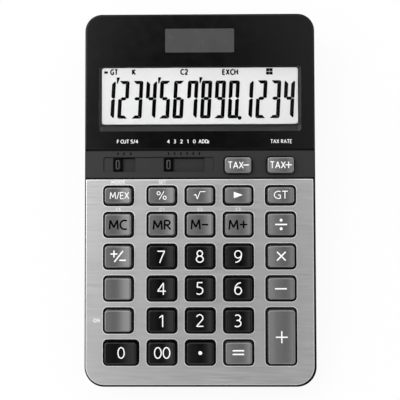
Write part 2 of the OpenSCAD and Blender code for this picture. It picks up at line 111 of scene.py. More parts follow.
def start_material(name, colour, **sockets):
    """A material with one Principled shader; underscores in a socket's name stand for spaces."""
    material = bpy.data.materials.new(name)
    material.use_nodes = True
    shader = material.node_tree.nodes["Principled BSDF"]
    shader.inputs["Base Color"].default_value = colour
    for socket, value in sockets.items():
        shader.inputs[socket.replace("_", " ")].default_value = value
    material.diffuse_color = colour
    return material, shader


def wire(owner, source, node, socket):
    """Link an output socket to a node's input, given by name or number."""
    owner.node_tree.links.new(source, node.inputs[socket])


def add_node(owner, kind, *links, **values):
    """One node of a material or a world. Values go on its properties, or else on its sockets, where
    underscores stand for spaces. Links are (input, output socket) pairs."""
    node = owner.node_tree.nodes.new(kind)
    for key, value in values.items():
        if hasattr(node, key):
            setattr(node, key, value)
        else:
            node.inputs[key.replace("_", " ")].default_value = value
    for socket, source in links:
        wire(owner, source, node, socket)
    return node


def reckon(owner, operation, *terms, kind="ShaderNodeMath"):
    """Outputs of a Math node, or of a Vector Math one. Each term is an output socket or a fixed value."""
    node = add_node(owner, kind, operation=operation)
    for number, term in enumerate(terms):
        if isinstance(term, bpy.types.NodeSocket):
            wire(owner, term, node, number)
        else:
            node.inputs[number].default_value = term
    return node.outputs


print("grey level 128 is", round(grey(128), 3), "in linear light")

# %% [markdown]
# ## Patterns
# A real surface is never one even tone. An image could carry the marks, but it would blur from near, so
# noise does it: read in Object coordinates, so that it stays put when the piece moves, it changes the tone
# a little, makes some spots smoother than others, and stands a hair proud as a bump. Most finishes use one
# noise for all three.

# %% Patterns
def noise(material, stretch=(1, 1, 1), size=0.001, detail=3.0):
    """Noise whose blots are about size metres across, drawn out along each axis by stretch."""
    place = add_node(material, "ShaderNodeTexCoord").outputs["Object"]
    scale = tuple(1 / (size * s) for s in stretch)
    mapped = add_node(material, "ShaderNodeMapping", ("Vector", place), Scale=scale).outputs["Vector"]
    pattern = add_node(material, "ShaderNodeTexNoise", ("Vector", mapped), Scale=1.0, Detail=detail)
    return pattern.outputs["Fac"]


def spread(material, pattern, low, high):
    """Map a pattern's middle range, 0.3 to 0.7, onto low to high."""
    return add_node(material, "ShaderNodeMapRange", ("Value", pattern), From_Min=0.3, From_Max=0.7,
                    To_Min=low, To_Max=high).outputs["Result"]


def two_tones(material, shader, pattern, dark, light):
    """Base colour between two tones, by a pattern."""
    mix = add_node(material, "ShaderNodeMix", ("Factor", spread(material, pattern, 0, 1)),
                   data_type="RGBA", A=dark, B=light)
    wire(material, mix.outputs["Result"], shader, "Base Color")


def rough_spots(material, shader, pattern, smooth, rough):
    """Roughness between two values, by a pattern."""
    wire(material, spread(material, pattern, smooth, rough), shader, "Roughness")


def bump(material, shader, pattern, depth):
    """Tilt the shading normal as if the pattern stood depth metres proud."""
    node = add_node(material, "ShaderNodeBump", ("Height", pattern), Strength=1.0, Distance=depth)
    wire(material, node.outputs["Normal"], shader, "Normal")


def grained(name, dark, light, rough, depth, size, stretch=(1, 1, 1), detail=3.0, **sockets):
    """A surface whose one noise sets its tone, its roughness (a pair of limits) and its bump, if any."""
    material, shader = start_material(name, dark, **sockets)
    marks = noise(material, stretch, size, detail)
    two_tones(material, shader, marks, dark, light)
    rough_spots(material, shader, marks, *rough)
    if depth:
        bump(material, shader, marks, depth)
    return material


def plastic(name, dark, light, rough, grain=0.0003, depth=0.00002, **sockets):
    """Moulded plastic: two close tones in slow blots, a fine spark grain that also varies the roughness."""
    material, shader = start_material(name, dark, **sockets)
    two_tones(material, shader, noise(material, size=0.012, detail=2), dark, light)
    fine = noise(material, size=grain)
    bump(material, shader, fine, depth)
    rough_spots(material, shader, fine, rough - 0.05, rough + 0.05)
    return material


print("patterns go on", [f.__name__ for f in (two_tones, rough_spots, bump)])

# %% [markdown]
# ## Face finishes
# The keypad plate is aluminium with a satin finish: the brush leaves long fine lines across the plate, so
# its noise is drawn out along u. Where it is cut, the bare metal is rougher and a brighter tone, partly the
# cut metal's own sheen and partly a painted highlight along the edges. The display panel is gloss black with
# a faint orange peel, the switch strip a dark satin paint, and the case plain moulded plastic with a spark
# grain.

# %% Face finishes
satin_aluminium = grained("satin_aluminium", tone(204), tone(212), (0.34, 0.46), 0.000004, size=0.00025,
                          stretch=(60, 1, 1), detail=4, Metallic=1.0)
# Partly painted highlight: the cut rims and the plate's outer edge are a brighter tone than the face, for the
# bright lines that their bevels catch.
cut_edge_painted_highlight = grained("cut_edge_painted_highlight", tone(243), tone(250), (0.48, 0.56), 0, size=0.0004, Metallic=1.0)
plate_edge_painted_highlight = grained("plate_edge_painted_highlight", tone(222), tone(228), (0.48, 0.56), 0, size=0.0004, Metallic=1.0)
satin_graphite = grained("satin_graphite", tone(37), tone(46), (0.42, 0.52), 0.000006, size=0.00015,
                         detail=2, Metallic=0.35)

gloss_black, shader = start_material("gloss_black", tone(8))
two_tones(gloss_black, shader, noise(gloss_black, size=0.02), tone(6), tone(10))
orange_peel = noise(gloss_black, size=0.004, detail=1)
rough_spots(gloss_black, shader, orange_peel, 0.10, 0.16)
bump(gloss_black, shader, orange_peel, 0.000005)

case_plastic = plastic("case_plastic", tone(7), tone(11), 0.5, Specular_IOR_Level=0.2)
cover_plastic = plastic("cover_plastic", tone(24), tone(28), 0.58, grain=0.0005, depth=0.00004)
print(len(bpy.data.materials), "materials so far")

# %% [markdown]
# ## Rings and walls
# Plates, keys and knobs are all built from one curve: a rectangle with round corners. A stack of such rings
# with changing inset and height makes a wall, a fillet or a chamfer. A box with a Bevel modifier would look
# much the same, but rings give each edge the profile and the faces that are wanted. Everything is worked
# out as whole arrays.

# %% Rings
def rounded_rings(w, h, r, inset, steps=8, side=0, r_far=None):
    """Rectangles with round corners, one for each inset, as arrays u and v of shape (rings, points),
    anticlockwise. A corner's points are its centre plus its radius times (cos a, sin a). Sizes and radii
    shrink by the inset, and side more points lie evenly on each straight. r_far is the radius at the corners
    with v > 0."""
    inset = np.atleast_1d(np.asarray(inset, float))[:, None, None]
    a = np.radians(np.linspace(0, 90, steps + 1) + 90 * np.arange(4)[:, None])
    sign_u, sign_v = np.array([[1], [-1], [-1], [1]]), np.array([[1], [1], [-1], [-1]])
    radius = np.maximum(np.where(sign_v > 0, r if r_far is None else r_far, r) - inset, 0.04)
    u = sign_u * (w / 2 - inset - radius) + radius * np.cos(a)
    v = sign_v * (h / 2 - inset - radius) + radius * np.sin(a)
    if side:
        s = np.linspace(0, 1, side + 2)[1:-1]
        u, v = [np.concatenate([c, c[..., -1:] * (1 - s) + np.roll(c, -1, 1)[..., :1] * s], -1)
                for c in (u, v)]
    return u.reshape(len(inset), -1), v.reshape(len(inset), -1)


def ring_quads(rings, points, first=0):
    """Quads that join each ring to the next; the last point of a ring joins its first."""
    i, j = np.meshgrid(np.arange(rings - 1), np.arange(points), indexing="ij")
    a = first + i * points + j
    b = first + i * points + (j + 1) % points
    return np.stack([a, b, b + points, a + points], -1).reshape(-1, 4)


print("a key's ring has", rounded_rings(12.6, 10.3, 1.5, 0, side=12)[0].shape[1], "points")

# %% [markdown]
# ## From arrays to a piece
# Whole arrays of points and corners go into a mesh at once. A piece then gets its materials and the body
# that it rides on, and names the solids that it stands for.

# %% Pieces
def fill_mesh(name, points, faces):
    """A mesh from points in metres and a list of face arrays, one row of point numbers per face."""
    mesh = bpy.data.meshes.new(name)
    corners = np.concatenate([f.ravel() for f in faces])
    sizes = np.concatenate([np.full(len(f), f.shape[1]) for f in faces])
    mesh.vertices.add(len(points))
    mesh.vertices.foreach_set("co", np.asarray(points, np.float32).ravel())
    mesh.loops.add(len(corners))
    mesh.loops.foreach_set("vertex_index", corners.astype(np.int32))
    mesh.polygons.add(len(sizes))
    mesh.polygons.foreach_set("loop_start", np.concatenate([[0], np.cumsum(sizes)[:-1]]).astype(np.int32))
    mesh.polygons.foreach_set("loop_total", sizes.astype(np.int32))
    mesh.update(calc_edges=True)
    mesh.validate()
    return mesh


def add_piece(name, points, faces, material, body, slot, replaces=(), crease=30, flat=(), others=()):
    """A piece from face points in mm: smooth except over edges sharper than crease degrees, riding on a body.
    Face arrays numbered in flat are not smoothed; others pairs a material with the arrays that wear it."""
    mesh = fill_mesh(name, on_face(points), faces)
    numbers = np.repeat(np.arange(len(faces)), [len(f) for f in faces])
    mesh.set_sharp_from_angle(angle=math.radians(crease))
    mesh.polygons.foreach_set("use_smooth", ~np.isin(numbers, flat))
    mesh.materials.append(material)
    worn = np.zeros(len(numbers), np.int32)
    for slot_number, (other, arrays) in enumerate(others, 1):
        mesh.materials.append(other)
        worn[np.isin(numbers, arrays)] = slot_number
    mesh.polygons.foreach_set("material_index", worn)
    piece = bpy.data.objects.new(name, mesh)
    bpy.context.scene.collection.objects.link(piece)
    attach(piece, body)
    if replaces:
        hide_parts(*replaces)
    return piece


# %% [markdown]
# ## Sheets
# A plate or a knob has several walls, outer ones and those of its holes, and flat faces between them.
# Boolean cuts could make it, but they leave slivers where the cuts meet a bevel. So a small class gathers
# the walls, fills the flat faces between their rings, and makes one closed piece of it all.

# %% Sheets
class Sheet:
    """Walls and flat caps that are gathered into one closed piece."""

    def __init__(self):
        self.points, self.faces, self.walls, self.caps, self.linings, self.count = [], [], [], [], [], 0

    def wall(self, size, centre, insets, heights, hole=True, plumb=False, lined=None, **corner):
        """Rings down a profile of (inset, height) pairs. A hole's rings close in on it, an outer wall's on
        the plate. A plumb wall stands upright, so it moves up the slope by height times the slope's tangent.
        The bands from the one numbered lined on are the wall's lining, an array of their own."""
        insets, heights = np.asarray(insets, float), np.asarray(heights, float)
        u, v = rounded_rings(*size, inset=insets * (-1 if hole else 1), **corner)
        w = np.repeat(heights[:, None], u.shape[1], 1)
        v = v + (w * math.tan(TILT) if plumb else 0)
        self.points.append(np.stack([u + centre[0], v + centre[1], w], -1).reshape(-1, 3))
        quads = ring_quads(*u.shape, self.count)
        quads = quads if hole else quads[:, ::-1]
        first = len(quads) if lined is None else lined * u.shape[1]
        for kind, bands in ((self.walls, quads[:first]), (self.linings, quads[first:])):
            if len(bands):
                kind.append(len(self.faces))
                self.faces.append(bands)
        numbers = self.count + np.arange(u.size).reshape(u.shape)
        self.count += u.size
        return numbers[0], numbers[-1]

    def cap(self, outer, holes=(), up=True):
        """A flat face between one ring and the rings of its holes."""
        points = np.concatenate(self.points)
        loops = [[Vector((*points[i][:2], 0)) for i in ring] for ring in (outer, *holes)]
        numbers = np.concatenate([outer, *holes])
        corners = numbers[np.array(tessellate_polygon(loops))]
        a, b, c = [points[corners[:, k], :2] for k in range(3)]
        turned = np.cross(b - a, c - a) > 0
        self.caps.append(len(self.faces))
        self.faces.append(np.where((turned == up)[:, None], corners, corners[:, ::-1]))

    def piece(self, name, *rest, **more):
        """The closed piece; its caps are left flat, and the rest goes on to add_piece."""
        return add_piece(name, np.concatenate(self.points), self.faces, *rest, flat=self.caps, **more)


def rounding(r, steps=4):
    """Profile of a quarter round of radius r, from the flat face down: insets r (1 - sin a), heights
    r (cos a - 1)."""
    a = np.radians(np.linspace(0, 90, steps + 1))
    return r * (1 - np.sin(a)), r * (np.cos(a) - 1)


print("a 0.2 mm round has the insets", rounding(0.2)[0].round(3))

# %% [markdown]
# ## The keys' places
# The keys stand in five columns and seven rows. Their sizes, wells and legends come from one table, so
# plates, caps and printing can't disagree. A key is a little smaller than its well, by a margin on each
# side.

# %% Places of the keys
COLUMNS = [-38.5, -18.0, 0.0, 18.0, 38.0]
FIRST_ROW, ROW_PITCH, TOP_ROW, TAX_ROW = -12.15, 15, 1.6, 15.8
ROWS = [FIRST_ROW - ROW_PITCH * n for n in range(5)]
MARGIN, NARROW = 1.05, 0.5
WELL, SHORT_WELL, TAX_WELL = (14.7, 12.4), (14.7, 9.8), (13.7, 8.7)  # width, height
ZERO_W, ADD_W, WELL_R = 17.2, 14.9, 2.2
PAD = [["memory_clear", "memory_recall", "memory_minus", "memory_plus", "divide"],
       ["sign", "7", "8", "9", "multiply"],
       ["clear", "4", "5", "6", "subtract"],
       ["all_clear", "1", "2", "3"]]

KEYS = {}  # u, v, width and height of the well, margin
for column, key in zip((3, 4), ("tax_minus", "tax_plus")):
    KEYS[key] = (COLUMNS[column], TAX_ROW, *TAX_WELL, NARROW)
for u, key in zip(COLUMNS, ("exchange", "percent", "root", "backspace", "grand_total")):
    KEYS[key] = (u, TOP_ROW, *SHORT_WELL, MARGIN)
for v, row in zip(ROWS, PAD):
    for u, key in zip(COLUMNS, row):
        KEYS[key] = (u, v, *WELL, MARGIN)
KEYS["0"] = (COLUMNS[0] + (ZERO_W - WELL[0]) / 2, ROWS[4], ZERO_W, WELL[1], MARGIN)
for column, key in zip((1, 2, 3), ("00", "point", "equals")):
    KEYS[key] = (COLUMNS[column], ROWS[4], *WELL, MARGIN)
KEYS["add"] = (COLUMNS[4], (ROWS[3] + ROWS[4]) / 2, ADD_W, WELL[1] + ROW_PITCH, MARGIN)
BLACK_KEYS = [*"0123456789", "00", "point"]
print(len(KEYS), "keys")

# %% [markdown]
# ## The face plates
# Three plates are let into the case's rim. Each is a flat sheet with wells cut through it, and what makes
# it read as metal or as moulded gloss is its edge: a narrow bright bevel on the aluminium, a small round on
# the black panel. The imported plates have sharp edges, so these are made anew: a wall is run round each
# outline with the edge's profile, and caps close it above and below.

# %% Plates and their wells
PLATE_T = 1.2
RIM = 0.5
CASE_R_FRONT, CASE_R_REAR, PLATE_R = 9.3, 8.0, 0.25
HALF_L = (CASE_D / 2 - RIM) / math.cos(TILT)
PLATE_W = CASE_W - 2 * RIM


def edged_plate(v_from, v_to, r_front, r_rear, edge, short=0.0):
    """The outer wall of a plate from v_from to v_to, with a profiled upper edge and a right side that stands
    back by short; gives the sheet and its rings."""
    sheet = Sheet()
    insets, heights = edge
    insets, heights = np.append(insets, 0), np.append(heights, -PLATE_T)
    rings = sheet.wall((PLATE_W - short, v_to - v_from), (-short / 2, (v_from + v_to) / 2), insets, heights,
                       hole=False, plumb=True, r=r_front, r_far=r_rear, steps=12)
    return sheet, rings


def wells_between(sheet, v_from, v_to, edge):
    """Walls of the wells of all keys between two places up the face: a rim, then a dark lining down to the
    foot. Gives their upper and lower rings."""
    insets, heights = np.append(edge[0], edge[0][-1]), np.append(edge[1], -PLATE_T)
    rings = [sheet.wall(KEYS[k][2:4], KEYS[k][:2], insets, heights, r=WELL_R, lined=len(insets) - 2)
             for k in KEYS if v_from < KEYS[k][1] < v_to]
    return [r[0] for r in rings], [r[1] for r in rings]


print("the plates' field is", PLATE_W, "by", round(2 * HALF_L, 2), "mm")

# %% The aluminium keypad plate
KEYPAD_V, KEYPAD_SHORT = (-HALF_L + 0.33, 9.32), 0.5
PLATE_BEVEL, WELL_BEVEL = ([0.34, 0.02], [0, -0.1]), ([0.36, 0.06], [0, -0.01])  # insets, heights

sheet, (top, under) = edged_plate(*KEYPAD_V, CASE_R_FRONT - RIM, PLATE_R, PLATE_BEVEL, KEYPAD_SHORT)
well_tops, well_feet = wells_between(sheet, *KEYPAD_V, WELL_BEVEL)
sheet.cap(top, well_tops)
sheet.cap(under, well_feet, up=False)
outer_edge, well_edges = sheet.walls[:1], sheet.walls[1:]
keypad = sheet.piece("keypad_sheet", satin_aluminium, "case", "brushed_plate", replaces=["keypad_plate"],
                     others=[(plate_edge_painted_highlight, outer_edge), (cut_edge_painted_highlight, well_edges), (case_plastic, sheet.linings)])
print("keypad plate:", len(keypad.data.polygons), "faces,", len(well_tops), "wells")

# %% The display panel
WINDOW, WINDOW_R = [(96.4, 31.5), (0, 47.9)], 1.2  # size, place and corners
SOLAR, SOLAR_R = [(32.8, 11.4), (0, 75.45)], 0.6
PANEL_FROM = 23.75
sheet, (top, under) = edged_plate(PANEL_FROM, HALF_L, PLATE_R, CASE_R_REAR - RIM, rounding(0.2))
openings = [sheet.wall(*place, [0, 0], [0, -PLATE_T], r=r)
            for place, r in ((WINDOW, WINDOW_R), (SOLAR, SOLAR_R))]
sheet.cap(top, [o[0] for o in openings])
sheet.cap(under, [o[1] for o in openings], up=False)
panel = sheet.piece("display_sheet", gloss_black, "case", "display_panel", replaces=["display_panel"])
print("display panel:", len(panel.data.polygons), "faces")

# %% [markdown]
# ## The switch strip
# The strip has a shallow trough with two deeper slots, and in each slot a slit for the knob's stem. Each
# floor is a cap with the next holes in it, so the steps follow one another down through the sheet. The walls
# of the trough and slots wear the near-black case plastic, a painted shadow line round their edges, and the
# slot floors a darker grey, painted shade from the knobs.

# %% The switch plate
STRIP_V = (10.12, 22.72)
SWITCH_V, TROUGH_U, TROUGH_DEPTH, SLOT_DEPTH, SLOT_H = 16.25, (-45.5, 6.4), 0.4, 1.1, 6.7
TROUGH_BEVEL, BEVEL_U, BEVEL_V = 0.18, -0.05, 0.18
DETENT, KNOB_W, SLOT_PLAY = 2.95, 4.5, 0.1
SLIT_H = 0.42
SLIT_V = SWITCH_V + (SLOT_H - SLIT_H) / 2 - 0.06
SWITCHES = {"rounding": (-38.85, 3), "decimal": (-14.85, 6)}  # first place, number of places

sheet, (top, under) = edged_plate(*STRIP_V, PLATE_R, PLATE_R, rounding(0.12))
well_tops, well_feet = wells_between(sheet, *STRIP_V, rounding(0.15))
# Painted shadow: the trough's wall is all lining in near-black case plastic, and its rim stands aside of its
# floor so that the upper wall shows from above as a dark band.
at_rim = np.array([[1.0], [0], [0]])  # the trough's rim is a little aside of its floor
trough = sheet.wall((TROUGH_U[1] - TROUGH_U[0], SLOT_H),
                    (sum(TROUGH_U) / 2 + BEVEL_U * at_rim, SWITCH_V + BEVEL_V * at_rim),
                    [TROUGH_BEVEL, 0, 0], [0, -0.2, -TROUGH_DEPTH], r=0.8, lined=0)
# Painted shade: the slot floors are a darker grey than the strip, for the knobs' shadows and the depth of the
# slots.
slot_floor_painted_shade = plastic("slot_floor_painted_shade", tone(41), tone(46), 0.6, Specular_IOR_Level=0.15)
slots, slits, floors = [], [], []
for first_u, positions in SWITCHES.values():
    run = (positions - 1) * DETENT
    middle = first_u + run / 2
    # Painted shadow: each slot's wall is all lining in near-black case plastic.
    slots.append(sheet.wall((run + KNOB_W + 2 * SLOT_PLAY, SLOT_H - 0.08), (middle, SWITCH_V),
                            [0, -0.02], [-TROUGH_DEPTH, -SLOT_DEPTH], r=0.6, lined=0))
    slits.append(sheet.wall((run + KNOB_W, SLIT_H), (middle, SLIT_V), [0, 0], [-SLOT_DEPTH, -PLATE_T], r=0.3))
    sheet.cap(slots[-1][1], [slits[-1][0]])
    floors.append(sheet.caps[-1])
sheet.cap(trough[1], [s[0] for s in slots])
sheet.cap(top, [*well_tops, trough[0]])
sheet.cap(under, [*well_feet, *[s[1] for s in slits]], up=False)
strip = sheet.piece("switch_sheet", satin_graphite, "case", "switch_plate", replaces=["switch_plate"],
                    others=[(case_plastic, sheet.linings), (slot_floor_painted_shade, floors)])
print("switch plate:", len(strip.data.polygons), "faces")

# %% [markdown]
# ## Keys
# A key cap leans in a little as it rises, its edge is rounded, and its top is hollowed from left to right
# for the fingertip. It is one surface, so that the light runs over it without a break: rings from the foot
# of the stem, out over the retaining flange, up the cap and over its edge, then in to the middle of the
# hollow. The grey keys are painted, the black ones bare plastic.

# %% Key finishes
grey_paint = grained("grey_key_paint", tone(130), tone(138), (0.18, 0.23), 0.000004, size=0.00012,
                     detail=2, Metallic=0.65)
key_black = plastic("black_key_plastic", tone(3), tone(6), 0.15, grain=0.0002, depth=0.000003,
                    Specular_IOR_Level=0.42)
print("the keys wear", grey_paint.name, "and", key_black.name)

# %% Key caps
KEY_RISE, DISH, LEAN, LEAN_FROM, EDGE_R, CAP_R = 3.0, 0.5, 0.16, 0.3, 0.6, 1.5
FLANGE_TOP, FLANGE_UNDER, STEM_FOOT, FLANGE_GROW, STEM_D = -2.9, -3.9, -5.2, 0.8, 4


def hollow(u, w):
    """Height of a key's top at u from its middle: the rise less a parabola's depth, which runs out at the
    edge."""
    reach = w / 2 - LEAN - EDGE_R
    return KEY_RISE - DISH * np.clip(1 - (u / reach) ** 2, 0, 1)


def key_surface(w, h):
    """Rings of one key, foot to middle of the top. Over the edge they follow a quarter round of radius
    EDGE_R: inset LEAN + r (1 - cos a), height top - r (1 - sin a). On the top they are the last ring, shrunk
    towards a point."""
    def ring(size_w, size_h, r, height):
        u, v = rounded_rings(size_w, size_h, r, 0, side=10)
        return np.stack([u, v, np.full_like(u, height)], -1)

    stem, cap = (STEM_D, STEM_D, STEM_D / 2), (w, h, CAP_R)
    flange = (w + 2 * FLANGE_GROW, h + 2 * FLANGE_GROW, CAP_R)
    stack = [ring(*stem, STEM_FOOT), ring(*stem, FLANGE_UNDER), ring(*flange, FLANGE_UNDER),
             ring(*flange, FLANGE_TOP), ring(*cap, FLANGE_TOP), ring(*cap, LEAN_FROM)]
    a = np.radians(np.linspace(0, 90, 8))[:, None]
    u, v = rounded_rings(w, h, CAP_R, LEAN + EDGE_R * (1 - np.cos(a[:, 0])), side=10)
    stack.append(np.stack([u, v, hollow(u, w) - EDGE_R * (1 - np.sin(a))], -1))
    shrink = np.linspace(0.94, 0.06, 12)[:, None]
    u, v = u[-1] * shrink, v[-1] * shrink
    stack.append(np.stack([u, v, hollow(u, w)], -1))
    rings = np.concatenate(stack)
    count, n = rings.shape[:2]
    points = np.concatenate([rings.reshape(-1, 3), [[0, 0, STEM_FOOT], [0, 0, hollow(0, w)]]])
    j = np.arange(n)
    foot = np.stack([(j + 1) % n, j, np.full(n, count * n)], -1)
    crown = np.stack([j, (j + 1) % n, np.full(n, 1)], -1) + [(count - 1) * n, (count - 1) * n, count * n]
    return points, [ring_quads(count, n), foot, crown]


for key, (u, v, well_w, well_h, margin) in KEYS.items():
    points, faces = key_surface(well_w - 2 * margin, well_h - 2 * margin)
    black = key in BLACK_KEYS
    add_piece(f"key_{key}_cap", points + [u, v, 0], faces, key_black if black else grey_paint, f"key_{key}",
              "digit_key" if black else "grey_key", replaces=[f"key_{key}"], crease=40)
print("key caps:", len(KEYS), "of", sum(len(f) for f in faces), "faces each")

# %% [markdown]
# ## Knobs
# A slide switch shows a low black block that fills its slot, and on it a narrow ridge with a groove for the
# fingernail. Rounded edges on the ridge catch two fine lines of light, and the ridge wears a lighter grey
# than the block as a painted highlight. A stem and a foot hang below, through the slit. It is built as the
# plates are, wall by wall, each floor a cap.

# %% Knobs
KNOB_TOP, KNOB_UNDER, RIDGE_TOP, GROOVE_FLOOR = -0.12, -0.8, 0.9, 0.4
KNOB_H, FOOT_BACK = SLOT_H - 0.2, 1.6
RIDGE, GROOVE, STEM, FOOT = (1.9, 4.4), (0.52, 3.2), (3.4, 0.34), (KNOB_W, 3.6)
knob_black = plastic("knob_black", tone(4), tone(7), 0.4, grain=0.0002, depth=0.000006,
                     Specular_IOR_Level=0.04)
# Painted highlight: the ridge's walls and top are a lighter grey than the block, for the light that its edges
# catch.
ridge_painted_highlight = plastic("ridge_painted_highlight", tone(52), tone(60), 0.35, grain=0.0002, depth=0.000006)


def knob(name, body, node, u):
    """One knob at its first place: block, ridge with a groove, stem and foot, each wall a stack of rings."""
    sheet, here, stem_at = Sheet(), (u, SWITCH_V), (u, SLIT_V)
    insets, heights = rounding(0.2)
    block = sheet.wall((KNOB_W, KNOB_H), here, [*insets, 0], [*(heights + KNOB_TOP), KNOB_UNDER],
                       hole=False, r=1.1)
    insets, heights = rounding(0.3)
    ridge = sheet.wall(RIDGE, here, [*insets, 0, -0.12], [*(heights + RIDGE_TOP), 0.05, KNOB_TOP],
                       hole=False, r=0.8)
    groove = sheet.wall(GROOVE, here, [0.1, 0, 0], [RIDGE_TOP, RIDGE_TOP - 0.12, GROOVE_FLOOR], r=0.24)
    stem = sheet.wall(STEM, stem_at, [0, 0], [KNOB_UNDER, FLANGE_TOP], hole=False, r=0.1)
    foot = sheet.wall(FOOT, (u, SLIT_V - FOOT_BACK), [0, 0], [FLANGE_TOP, FLANGE_UNDER], hole=False, r=0.3)
    sheet.cap(block[0], [ridge[1]])
    sheet.cap(ridge[0], [groove[0]])
    sheet.cap(groove[1])
    sheet.cap(block[1], [stem[0]], up=False)
    sheet.cap(foot[0], [stem[1]])
    sheet.cap(foot[1], up=False)
    ridge_faces = [sheet.walls[1], sheet.caps[1]]
    return sheet.piece(name, knob_black, body, "knob", replaces=[node], others=[(ridge_painted_highlight, ridge_faces)])


for which, (first_u, _) in SWITCHES.items():
    made = knob(f"{which}_knob_block", f"{which}_slider", f"{which}_knob", first_u)
    print(made.name, len(made.data.polygons), "faces")

# %% [markdown]
# ## Lettering
# The printing is drawn in strokes of even width, as such legends are: a glyph is a few straight lines, arcs
# and curves in a box one unit high. A font would be quicker, but its filled letters can't follow a hollow
# key, and strokes let each legend have its own weight and width.

# %% Strokes
def line(*xy):
    """A chain of straight lines through x, y pairs."""
    return np.array(xy, float).reshape(-1, 2)


def arc(cx, cy, rx, ry, start, end):
    """Part of an ellipse: centre plus (rx cos a, ry sin a), a in degrees from start to end."""
    a = np.radians(np.linspace(start, end, max(3, int(abs(end - start) / 12))))
    return np.stack([cx + rx * np.cos(a), cy + ry * np.sin(a)], -1)


def bend(*xy):
    """A cubic curve: its four control points weighed by (1-t)^3, 3t(1-t)^2, 3t^2(1-t) and t^3."""
    p = line(*xy)
    t = np.linspace(0, 1, 13)[:, None]
    return ((1 - t) ** 3 * p[0] + 3 * t * (1 - t) ** 2 * p[1] + 3 * t ** 2 * (1 - t) * p[2] + t ** 3 * p[3])


def join(*paths):
    """Several paths as one stroke."""
    return np.concatenate(paths)


print("a full circle has", len(arc(0, 0, 1, 1, 0, 360)), "points")

# %% Glyphs
curl = join(arc(.27, .76, .25, .24, 40, 230), arc(.27, .26, .26, .26, 60, -140))
six = [arc(.33, .31, .32, .31, 0, 360), bend(.01, .34, .02, .72, .22, .97, .58, .99)]
GLYPHS = {  # width, strokes
    "0": (.66, [arc(.33, .5, .33, .5, 0, 360)]),
    "1": (.42, [line(.30, 0, .30, 1), line(.30, 1, .02, .80)]),
    "2": (.64, [join(arc(.31, .71, .29, .29, 160, -25), line(.02, 0)), line(.02, 0, .64, 0)]),
    "3": (.62, [arc(.27, .765, .28, .235, 135, -80), arc(.25, .275, .35, .275, 85, -130),
                line(.18, .535, .3, .535)]),
    "4": (.68, [line(.48, 0, .48, 1), line(.48, 1, 0, .30), line(0, .30, .68, .30)]),
    "5": (.62, [line(.56, 1, .11, 1), line(.11, 1, .09, .57), arc(.25, .305, .35, .305, 115, -130)]),
    "6": (.65, six),
    "7": (.64, [line(0, 1, .64, 1), bend(.64, 1, .48, .7, .3, .3, .20, 0)]),
    "8": (.64, [arc(.32, .76, .25, .24, 0, 360), arc(.32, .265, .32, .265, 0, 360)]),
    "9": (.65, [[.65, 1] - p for p in six]),
    "A": (.74, [line(0, 0, .37, 1), line(.37, 1, .74, 0), line(.13, .32, .61, .32)]),
    "C": (.64, [arc(.5, .5, .5, .5, 62, 298)]),
    "D": (.70, [line(0, 0, 0, 1), join(line(0, 1, .22, 1), arc(.22, .5, .48, .5, 90, -90), line(0, 0))]),
    "E": (.50, [line(0, 0, 0, 1), line(0, 1, .5, 1), line(0, .52, .44, .52), line(0, 0, .5, 0)]),
    "F": (.48, [line(0, 0, 0, 1), line(0, 1, .48, 1), line(0, .5, .42, .5)]),
    "G": (.72, [join(arc(.5, .5, .5, .5, 62, 300), line(.72, .08)), line(.72, .06, .72, .48),
                line(.72, .48, .46, .48)]),
    "H": (.66, [line(0, 0, 0, 1), line(.66, 0, .66, 1), line(0, .52, .66, .52)]),
    "K": (.60, [line(0, 0, 0, 1), line(.56, 1, .02, .48), line(.14, .58, .60, 0)]),
    "M": (.86, [line(0, 0, .07, 1), line(.07, 1, .43, .22), line(.43, .22, .79, 1), line(.79, 1, .86, 0)]),
    "N": (.68, [line(0, 0, 0, 1), line(0, 1, .68, 0), line(.68, 0, .68, 1)]),
    "O": (.84, [arc(.42, .5, .42, .5, 0, 360)]),
    "R": (.60, [line(0, 0, 0, 1), join(line(0, 1, .25, 1), arc(.25, .75, .28, .25, 90, -90), line(0, .5)),
                line(.22, .5, .60, 0)]),
    "S": (.54, [curl]),
    "$": (.54, [curl, line(.27, 1.12, .27, -.12)]),
    "T": (.64, [line(0, 1, .64, 1), line(.32, 1, .32, 0)]),
    "U": (.64, [join(line(0, 1), arc(.32, .32, .32, .32, 180, 360), line(.64, 1))]),
    "X": (.66, [line(0, 0, .64, 1), line(.02, 1, .66, 0)]),
    "/": (.36, [line(0, -.05, .36, 1.05)]),
    " ": (.26, []),
}
print(len(GLYPHS), "glyphs")

# %% [markdown]
# ## Ribbons
# A stroke becomes a low closed ribbon: a rectangle carried along the path, whose width closes in at the
# ends. It follows the ground that it lies on, and each stroke stands a hair above the one before, so that
# no two faces coincide.

# %% Ribbons
RIBBON_STEP, SUNK = 0.35, 0.05
LIFTS = 0.02, 0.002, 0.045  # lowest, step, highest


